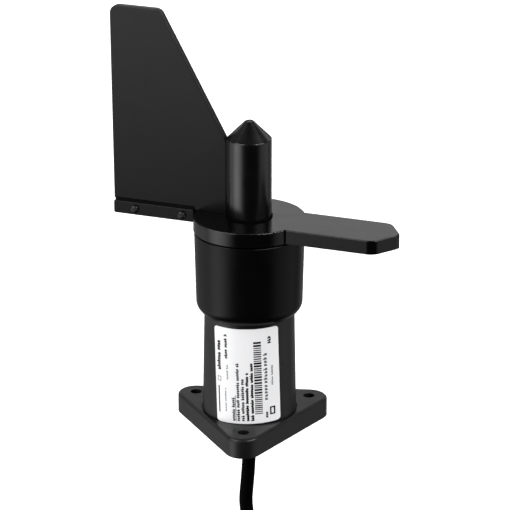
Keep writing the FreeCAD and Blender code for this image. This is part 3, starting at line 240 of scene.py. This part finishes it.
def surface(name, **fixed):
    """A material and its Principled shader, with plain values set on its sockets."""
    material = bpy.data.materials.new(name)
    material.use_nodes = True
    tree = material.node_tree
    shader = tree.nodes["Principled BSDF"]
    for key, value in fixed.items():
        shader.inputs[key.replace("_", " ").title().replace("Ior", "IOR")].default_value = value
    return material, tree, shader


def relief(tree, shader, height, depth, edge=0.0):
    """A bump of that depth in metres, over edges softened by a small radius."""
    bump = add_node(tree, "Bump", {"Height": height, "Distance": depth, "Strength": 1.0})
    if edge:
        soft = add_node(tree, "Bevel", {"Radius": edge}, samples=4)
        tree.links.new(soft.outputs["Normal"], bump.inputs["Normal"])
    tree.links.new(bump.outputs["Normal"], shader.inputs["Normal"])


def painted_light_rise(node, gain):
    """Foot and top of a node, between which painted light makes a colour grow to that many times its value.
    """
    low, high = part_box(node)
    return low[2], high[2], gain


def moulded_plastic(name, colour, rough, grain, depth, edge=0.25 * MM, mottle=0.15, level=0.5, painted_light=None):
    """Moulded plastic: grain from the tool's surface, a faint cloudy gloss, and optional painted light that
    makes it lighter towards its top.
    """
    material, tree, shader = surface(name, specular_ior_level=level)
    clouds = noise(tree, 9 * MM, detail=3.0)
    specks = noise(tree, grain, detail=1.0)
    colours = blend_colours(tree, clouds, shade(colour, 1 - mottle), shade(colour, 1 + mottle))
    # Painted light: the colour grows with height up to the node's top, so the part is lighter higher up.
    if painted_light:
        low, high, gain = painted_light
        place = add_node(tree, "NewGeometry").outputs["Position"]
        height = add_node(tree, "SeparateXYZ", {0: place}).outputs["Z"]
        share = span(tree, height, low, high, 0.0, 1.0)
        top = shade(colour, gain)
        lighter = blend_colours(tree, clouds, shade(top, 1 - mottle), shade(top, 1 + mottle))
        colours = blend_colours(tree, share, colours, lighter)
    tree.links.new(colours, shader.inputs["Base Color"])
    gloss = span(tree, clouds, 0.3, 0.7, rough - 0.03, rough + 0.03)
    tree.links.new(gloss, shader.inputs["Roughness"])
    relief(tree, shader, specks, depth, edge)
    return material


def turned_metal(name, colour, rough, ring=0.12 * MM):
    """Machined metal: fine tool marks round Z, and a little staining."""
    material, tree, shader = surface(name, metallic=1.0)
    place = add_node(tree, "TexCoord").outputs["Object"]
    stretched = add_node(tree, "Mapping", {"Vector": place, "Scale": (300.0, 300.0, 1.0 / ring)}).outputs[0]
    marks = add_node(tree, "TexNoise", {"Vector": stretched, "Scale": 1.0, "Detail": 2.0}).outputs["Fac"]
    stain = noise(tree, 3 * MM, detail=3.0)
    colours = blend_colours(tree, stain, shade(colour, 0.82), shade(colour, 1.05))
    tree.links.new(colours, shader.inputs["Base Color"])
    tree.links.new(span(tree, marks, 0.3, 0.7, rough - 0.05, rough + 0.08), shader.inputs["Roughness"])
    relief(tree, shader, marks, 0.003 * MM, 0.1 * MM)
    return material


def rubber(name, colour, rough, level):
    """Rubber or a soft jacket: dull, with fine pores and dusty high spots."""
    material, tree, shader = surface(name, specular_ior_level=level)
    dust = noise(tree, 4 * MM, detail=4.0, roughness=0.65)
    pores = noise(tree, 0.2 * MM, detail=1.0)
    colours = blend_colours(tree, dust, shade(colour, 0.75), shade(colour, 1.4))
    tree.links.new(colours, shader.inputs["Base Color"])
    tree.links.new(span(tree, dust, 0.3, 0.7, rough - 0.06, rough + 0.06), shader.inputs["Roughness"])
    relief(tree, shader, pores, 0.006 * MM, 0.1 * MM)
    return material


FILM_WHITE = (0.9, 0.9, 0.91)


def label_film(name):
    """White printed film: a very faint fibre in the face, and a soft gloss."""
    material, tree, shader = surface(name, coat_weight=0.25, coat_roughness=0.2)
    fibre = noise(tree, 0.5 * MM, detail=4.0)
    wave = noise(tree, 11 * MM, detail=1.0)
    colours = blend_colours(tree, fibre, shade(FILM_WHITE, 0.98), shade(FILM_WHITE, 1.02))
    tree.links.new(colours, shader.inputs["Base Color"])
    tree.links.new(span(tree, fibre, 0.3, 0.7, 0.36, 0.44), shader.inputs["Roughness"])
    relief(tree, shader, wave, 0.05 * MM)
    return material


def board_laminate(name, colour):
    """Solder mask over copper tracks that show as a faint net of lighter lines."""
    material, tree, shader = surface(name, roughness=0.3)
    place = add_node(tree, "TexCoord").outputs["Object"]
    cells = add_node(tree, "TexVoronoi", {"Vector": place, "Scale": 500.0}, distance="MANHATTAN",
                     feature="F1").outputs["Distance"]
    tracks = span(tree, cells, 0.45, 0.5, 0.0, 1.0)
    colours = blend_colours(tree, tracks, shade(colour, 0.8), shade(colour, 1.5))
    tree.links.new(colours, shader.inputs["Base Color"])
    relief(tree, shader, tracks, 0.03 * MM)
    return material


# Moulded plastics: colour, roughness, size and depth of the grain, and what differs from the usual
PLASTICS = {
    "housing_plastic": ((0.006, 0.006, 0.0064), 0.38, 0.35 * MM, 0.012 * MM, {"level": 0.28}),
    "skirt_plastic": ((0.0012, 0.0012, 0.0012), 0.3, 0.3 * MM, 0.002 * MM, {"level": 0.12}),
    "head_plastic": ((0.0012, 0.0012, 0.0012), 0.17, 0.4 * MM, 0.001 * MM, {"level": 0.3}),
    "post_plastic": ((0.0012, 0.0012, 0.0012), 0.25, 0.4 * MM, 0.001 * MM, {}),
    # The fin's colour carries painted light: it grows sixfold from the fin's foot to its top.
    "fin_plastic": ((0.0035, 0.0035, 0.0035), 0.3, 0.3 * MM, 0.003 * MM,
                    {"level": 0.13, "painted_light": painted_light_rise("tail_fin", 6.0)}),
    "label_ink": ((0.004, 0.004, 0.005), 0.55, 0.2 * MM, 0.001 * MM, {"edge": 0.0, "level": 0.2}),
    "label_grey": ((0.12, 0.12, 0.13), 0.55, 0.2 * MM, 0.001 * MM, {"edge": 0.0, "level": 0.2}),
    "carrier_plastic": ((0.04, 0.04, 0.042), 0.45, 0.3 * MM, 0.004 * MM, {}),
    "black_screw": ((0.003, 0.003, 0.003), 0.36, 0.25 * MM, 0.004 * MM, {"level": 0.4}),
    "chip_plastic": ((0.015, 0.015, 0.016), 0.5, 0.1 * MM, 0.004 * MM, {}),
    "terminal_plastic": ((0.02, 0.2, 0.06), 0.4, 0.2 * MM, 0.003 * MM, {}),
    "lead_insulation": ((0.3, 0.04, 0.03), 0.4, 0.2 * MM, 0.002 * MM, {}),
    "gland_plastic": ((0.02, 0.02, 0.021), 0.4, 0.25 * MM, 0.005 * MM, {}),
    "tie_nylon": ((0.01, 0.01, 0.01), 0.35, 0.3 * MM, 0.003 * MM, {}),
    "connector_plastic": ((0.012, 0.012, 0.012), 0.4, 0.3 * MM, 0.006 * MM, {}),
}
# Machined metals: colour and roughness
METALS = {
    "bearing_steel": ((0.72, 0.72, 0.73), 0.14),
    "stainless_steel": ((0.6, 0.59, 0.58), 0.28),
    "magnet": ((0.5, 0.5, 0.5), 0.22),
    "brass_plating": ((0.78, 0.58, 0.28), 0.25),
    "connector_metal": ((0.62, 0.61, 0.57), 0.3),
}
MATERIALS = {
    "label_film": label_film("label_film"),
    "black_rubber": rubber("black_rubber", (0.0008, 0.0008, 0.0008), 0.8, 0.03),
    "board_laminate": board_laminate("board_laminate", (0.01, 0.12, 0.045)),
    "cable_jacket": rubber("cable_jacket", (0.0005, 0.0005, 0.0005), 0.6, 0.02),
}
for name, (colour, rough, grain, depth, special) in PLASTICS.items():
    MATERIALS[name] = moulded_plastic(name, colour, rough, grain, depth, **special)
for name, (colour, rough) in METALS.items():
    MATERIALS[name] = turned_metal(name, colour, rough)


def dress_cad_nodes():
    """Each CAD node takes the material of its slot in the record."""
    for row in frame["record"]["subparts"]:
        mesh = frame["nodes"][row["node"]].data
        material = MATERIALS[row["material_slot"]]
        if not mesh.materials:
            mesh.materials.append(material)
        for index in range(len(mesh.materials)):
            mesh.materials[index] = material


# Label print, as plain marks with no lettering

PRINT_LIFT = 0.03 * MM
PRINT_SUNK = 0.02 * MM
LABEL_TALL = LABEL_HIGH - LABEL_LOW
COLUMN_SHARE = 0.03
# Shares of a line's width: the first block of a pair, and where the second starts and how wide it is
STROKE_SHARES = (0.75, 0.75, 1.0)
STUB_STARTS = (0.25, 0.4)
STUB_SHARE = 0.6
# Shares of the label's height
BAR_THICKNESSES = (0.01, 0.013, 0.02)
BAR_GAPS = (0.009, 0.011)


def on_label(across, up, lift):
    """A point on the label's face: across from its left edge and up from its foot, as shares."""
    tilt = math.radians(LABEL_TILT)
    sideways = LABEL_WIDTH * (across - 0.5)
    above = LABEL_TALL * (up - 0.5)
    x = sideways * math.cos(tilt) - above * math.sin(tilt)
    z = (LABEL_LOW + LABEL_HIGH) / 2 + sideways * math.sin(tilt) + above * math.cos(tilt)
    taper = (FOOT_RADIUS - TOP_RADIUS) / (HOUSING_TOP - FOOT_HEIGHT)
    radius = FOOT_RADIUS - taper * (z - FOOT_HEIGHT) + LABEL_THICK + lift
    turn = math.radians(LABEL_CENTRE) + math.asin(x / radius)
    return (radius * math.cos(turn), radius * math.sin(turn), z)


def mark(vertices, faces, left, right, low, high):
    """One thin printed block, bent to the label."""
    columns = max(1, math.ceil((right - left) / COLUMN_SHARE))
    start = len(vertices)
    for i in range(columns + 1):
        across = left + (right - left) * i / columns
        for up, lift in ((low, -PRINT_SUNK), (high, -PRINT_SUNK), (high, PRINT_LIFT), (low, PRINT_LIFT)):
            vertices.append(on_label(across, up, lift))
    for i in range(columns):
        a = start + 4 * i
        for k in range(4):
            n = (k + 1) % 4
            faces.append((a + k, a + n, a + 4 + n, a + 4 + k))
    faces.append((start + 3, start + 2, start + 1, start))
    last = start + 4 * columns
    faces.append((last, last + 1, last + 2, last + 3))


def word_line(marks, middle, low, high, width, pitch, dice, fill=0.68, gap=0.8):
    """A line of block pairs that runs up the label in words, and holds no letters."""
    left = middle - width / 2
    right = middle + width / 2
    up = low
    while up + pitch <= high:
        for _ in range(dice.randint(3, 8)):
            if up + pitch > high:
                return
            half = pitch * fill / 2
            tall = width * dice.choice(STROKE_SHARES)
            marks.append((right - tall, right, up, up + half))
            start = left + width * dice.choice(STUB_STARTS)
            marks.append((start, start + width * STUB_SHARE, up + half, up + 2 * half))
            up += pitch
        up += pitch * gap


def bar_stack(marks, left, right, low, high, dice):
    """Bars of mixed width across the label, one above the other."""
    up = low
    while up < high:
        thick = dice.choice(BAR_THICKNESSES)
        marks.append((left, right, up, up + thick))
        up += thick + dice.choice(BAR_GAPS)


def frame_box(marks, left, right, low, high, line):
    """A plain rectangle drawn in four strokes."""
    marks.append((left, right, low, low + line))
    marks.append((left, right, high - line, high))
    marks.append((left, left + line * 1.5, low + line, high - line))
    marks.append((right - line * 1.5, right, low + line, high - line))


def print_marks():
    """Every mark in black, and every mark in grey."""
    dice = random.Random(5)
    black, grey = [], []
    black.append((0.038, 0.056, 0.1, 0.38))
    frame_box(grey, 0.03, 0.085, 0.43, 0.48, 0.006)
    word_line(black, 0.058, 0.55, 0.86, 0.06, 0.026, dice, fill=0.9)
    word_line(black, 0.172, 0.68, 0.95, 0.05, 0.024, dice, fill=0.86)
    word_line(grey, 0.185, 0.46, 0.62, 0.028, 0.016, dice)
    word_line(grey, 0.15, 0.12, 0.37, 0.025, 0.016, dice)
    for middle, high, fill in ((0.27, 0.31, 0.78), (0.345, 0.655, 0.8), (0.42, 0.49, 0.8),
                               (0.493, 0.56, 0.94), (0.57, 0.65, 0.94)):
        word_line(black, middle, 0.03, high, 0.052, 0.021, dice, fill=fill)
    black.append((0.304, 0.313, 0.03, 0.3))
    bar_stack(black, 0.615, 0.735, 0.1, 0.87, dice)
    word_line(grey, 0.79, 0.24, 0.78, 0.06, 0.034, dice, gap=0.3)
    word_line(black, 0.795, 0.05, 0.125, 0.045, 0.021, dice, fill=0.86)
    word_line(black, 0.86, 0.835, 0.95, 0.052, 0.026, dice, fill=0.8)
    word_line(grey, 0.89, 0.39, 0.62, 0.03, 0.018, dice)
    frame_box(black, 0.845, 0.925, 0.075, 0.16, 0.014)
    return {"label_ink": black, "label_grey": grey}


def label_print():
    """The black marks and the grey marks, as one mesh each."""
    for slot, marks in print_marks().items():
        vertices, faces = [], []
        for edges in marks:
            mark(vertices, faces, *edges)
        mesh = bpy.data.meshes.new(slot)
        mesh.from_pydata(vertices, [], faces)
        mesh.update()
        mesh.materials.append(MATERIALS[slot])
        piece = bpy.data.objects.new(slot, mesh)
        bpy.context.scene.collection.objects.link(piece)
        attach(piece, "housing")


# Studio

# Soft panels all round: (azimuth, half width, elevation, half height, soft edge, lean, strength).
# Azimuths count from the camera's side, and to its right; a panel with a lean of 1 runs at 45 degrees.
PANELS = {
    "left_box": (-62.0, 20.0, -18.0, 22.0, 30.0, 1.0, 2.3),
    "left_spill": (-92.0, 32.0, -18.0, 22.0, 36.0, 0.0, 0.8),
    "left_high": (-60.0, 28.0, 36.0, 8.0, 8.0, 0.0, 12.0),
    "right_box": (84.0, 30.0, -18.0, 22.0, 22.0, 0.0, 0.6),
    "right_high": (60.0, 26.0, 36.0, 8.0, 8.0, 0.0, 15.5),
    "back_low": (180.0, 52.0, -25.0, 28.0, 20.0, 0.0, 0.3),
    "back_wall": (180.0, 60.0, 21.0, 9.0, 10.0, 0.0, 0.92),
    "back_high": (180.0, 60.0, 64.0, 10.0, 10.0, 0.0, 3.0),
}
FRONT_FILL = 0.02
CEILING = 0.05
CEILING_FROM = 35.0
CEILING_FULL = 70.0
FLOOR_HALF = 4.0
FLOOR_DROP = 0.02
FLOOR_GLOW = 0.35


def window(tree, distance, half, soft):
    """1 within an angle of the middle, and 0 outside it, with a soft edge."""
    low, high = math.radians(half - soft / 2), math.radians(half + soft / 2)
    return span(tree, distance, low, high, 1.0, 0.0, smooth=True)


def studio_world():
    """A dark room with soft panels left, right and behind, and a faint ceiling."""
    world = bpy.data.worlds.new("studio")
    bpy.context.scene.world = world
    world.use_nodes = True
    tree = world.node_tree
    direction = add_node(tree, "TexCoord").outputs["Generated"]
    height = add_node(tree, "SeparateXYZ", {0: direction}).outputs["Z"]
    elevation = maths(tree, "ARCSINE", height)
    low, high = math.radians(CEILING_FROM), math.radians(CEILING_FULL)
    total = span(tree, elevation, low, high, FRONT_FILL, CEILING, smooth=True)
    for azimuth, half_width, middle, half_height, soft, lean, strength in PANELS.values():
        turn = math.radians(CAMERA_AZIMUTH + azimuth)
        along = add_node(tree, "VectorMath", {0: direction, 1: (math.sin(turn), -math.cos(turn), 0.0)},
                         operation="DOT_PRODUCT").outputs["Value"]
        across = add_node(tree, "VectorMath", {0: direction, 1: (math.cos(turn), math.sin(turn), 0.0)},
                          operation="DOT_PRODUCT").outputs["Value"]
        above = maths(tree, "SUBTRACT", elevation, math.radians(middle))
        leaning = maths(tree, "MULTIPLY", above, lean)
        aside = maths(tree, "SUBTRACT", maths(tree, "ARCTAN2", across, along), leaning)
        wide = window(tree, maths(tree, "ABSOLUTE", aside), half_width, soft)
        tall = window(tree, maths(tree, "ABSOLUTE", above), half_height, min(soft, half_height))
        panel = maths(tree, "MULTIPLY", maths(tree, "MULTIPLY", wide, tall), strength)
        total = maths(tree, "ADD", total, panel)
    background = tree.nodes["Background"]
    tree.links.new(total, background.inputs["Strength"])
    background.inputs["Color"].default_value = (1.0, 1.0, 1.0, 1.0)


def pale_floor():
    """A wide pale floor under the whole model, which the model doesn't mirror."""
    z = CAD_BOX[0].z - FLOOR_DROP
    corners = [(x * FLOOR_HALF, y * FLOOR_HALF, z) for x, y in ((-1, -1), (1, -1), (1, 1), (-1, 1))]
    mesh = bpy.data.meshes.new("floor")
    mesh.from_pydata(corners, [], [(0, 1, 2, 3)])
    material, tree, shader = surface("floor", roughness=0.9, specular_ior_level=0.1,
                                     emission_strength=FLOOR_GLOW)
    shader.inputs["Emission Color"].default_value = (1.0, 1.0, 1.0, 1.0)
    clouds = noise(tree, 0.6, detail=1.0)
    tree.links.new(blend_colours(tree, clouds, (0.9, 0.9, 0.9, 1.0), (0.93, 0.93, 0.93, 1.0)),
                   shader.inputs["Base Color"])
    mesh.materials.append(material)
    floor = bpy.data.objects.new("floor", mesh)
    bpy.context.scene.collection.objects.link(floor)
    floor.visible_glossy = False
    floor.visible_diffuse = False
    floor.visible_shadow = False


def plain_colours():
    """Colours go to the picture as they are."""
    settings = bpy.context.scene.view_settings
    settings.view_transform = "Standard"
    settings.look = "None"


place_camera()
signal_cable()
dress_cad_nodes()
label_print()
studio_world()
pale_floor()
plain_colours()
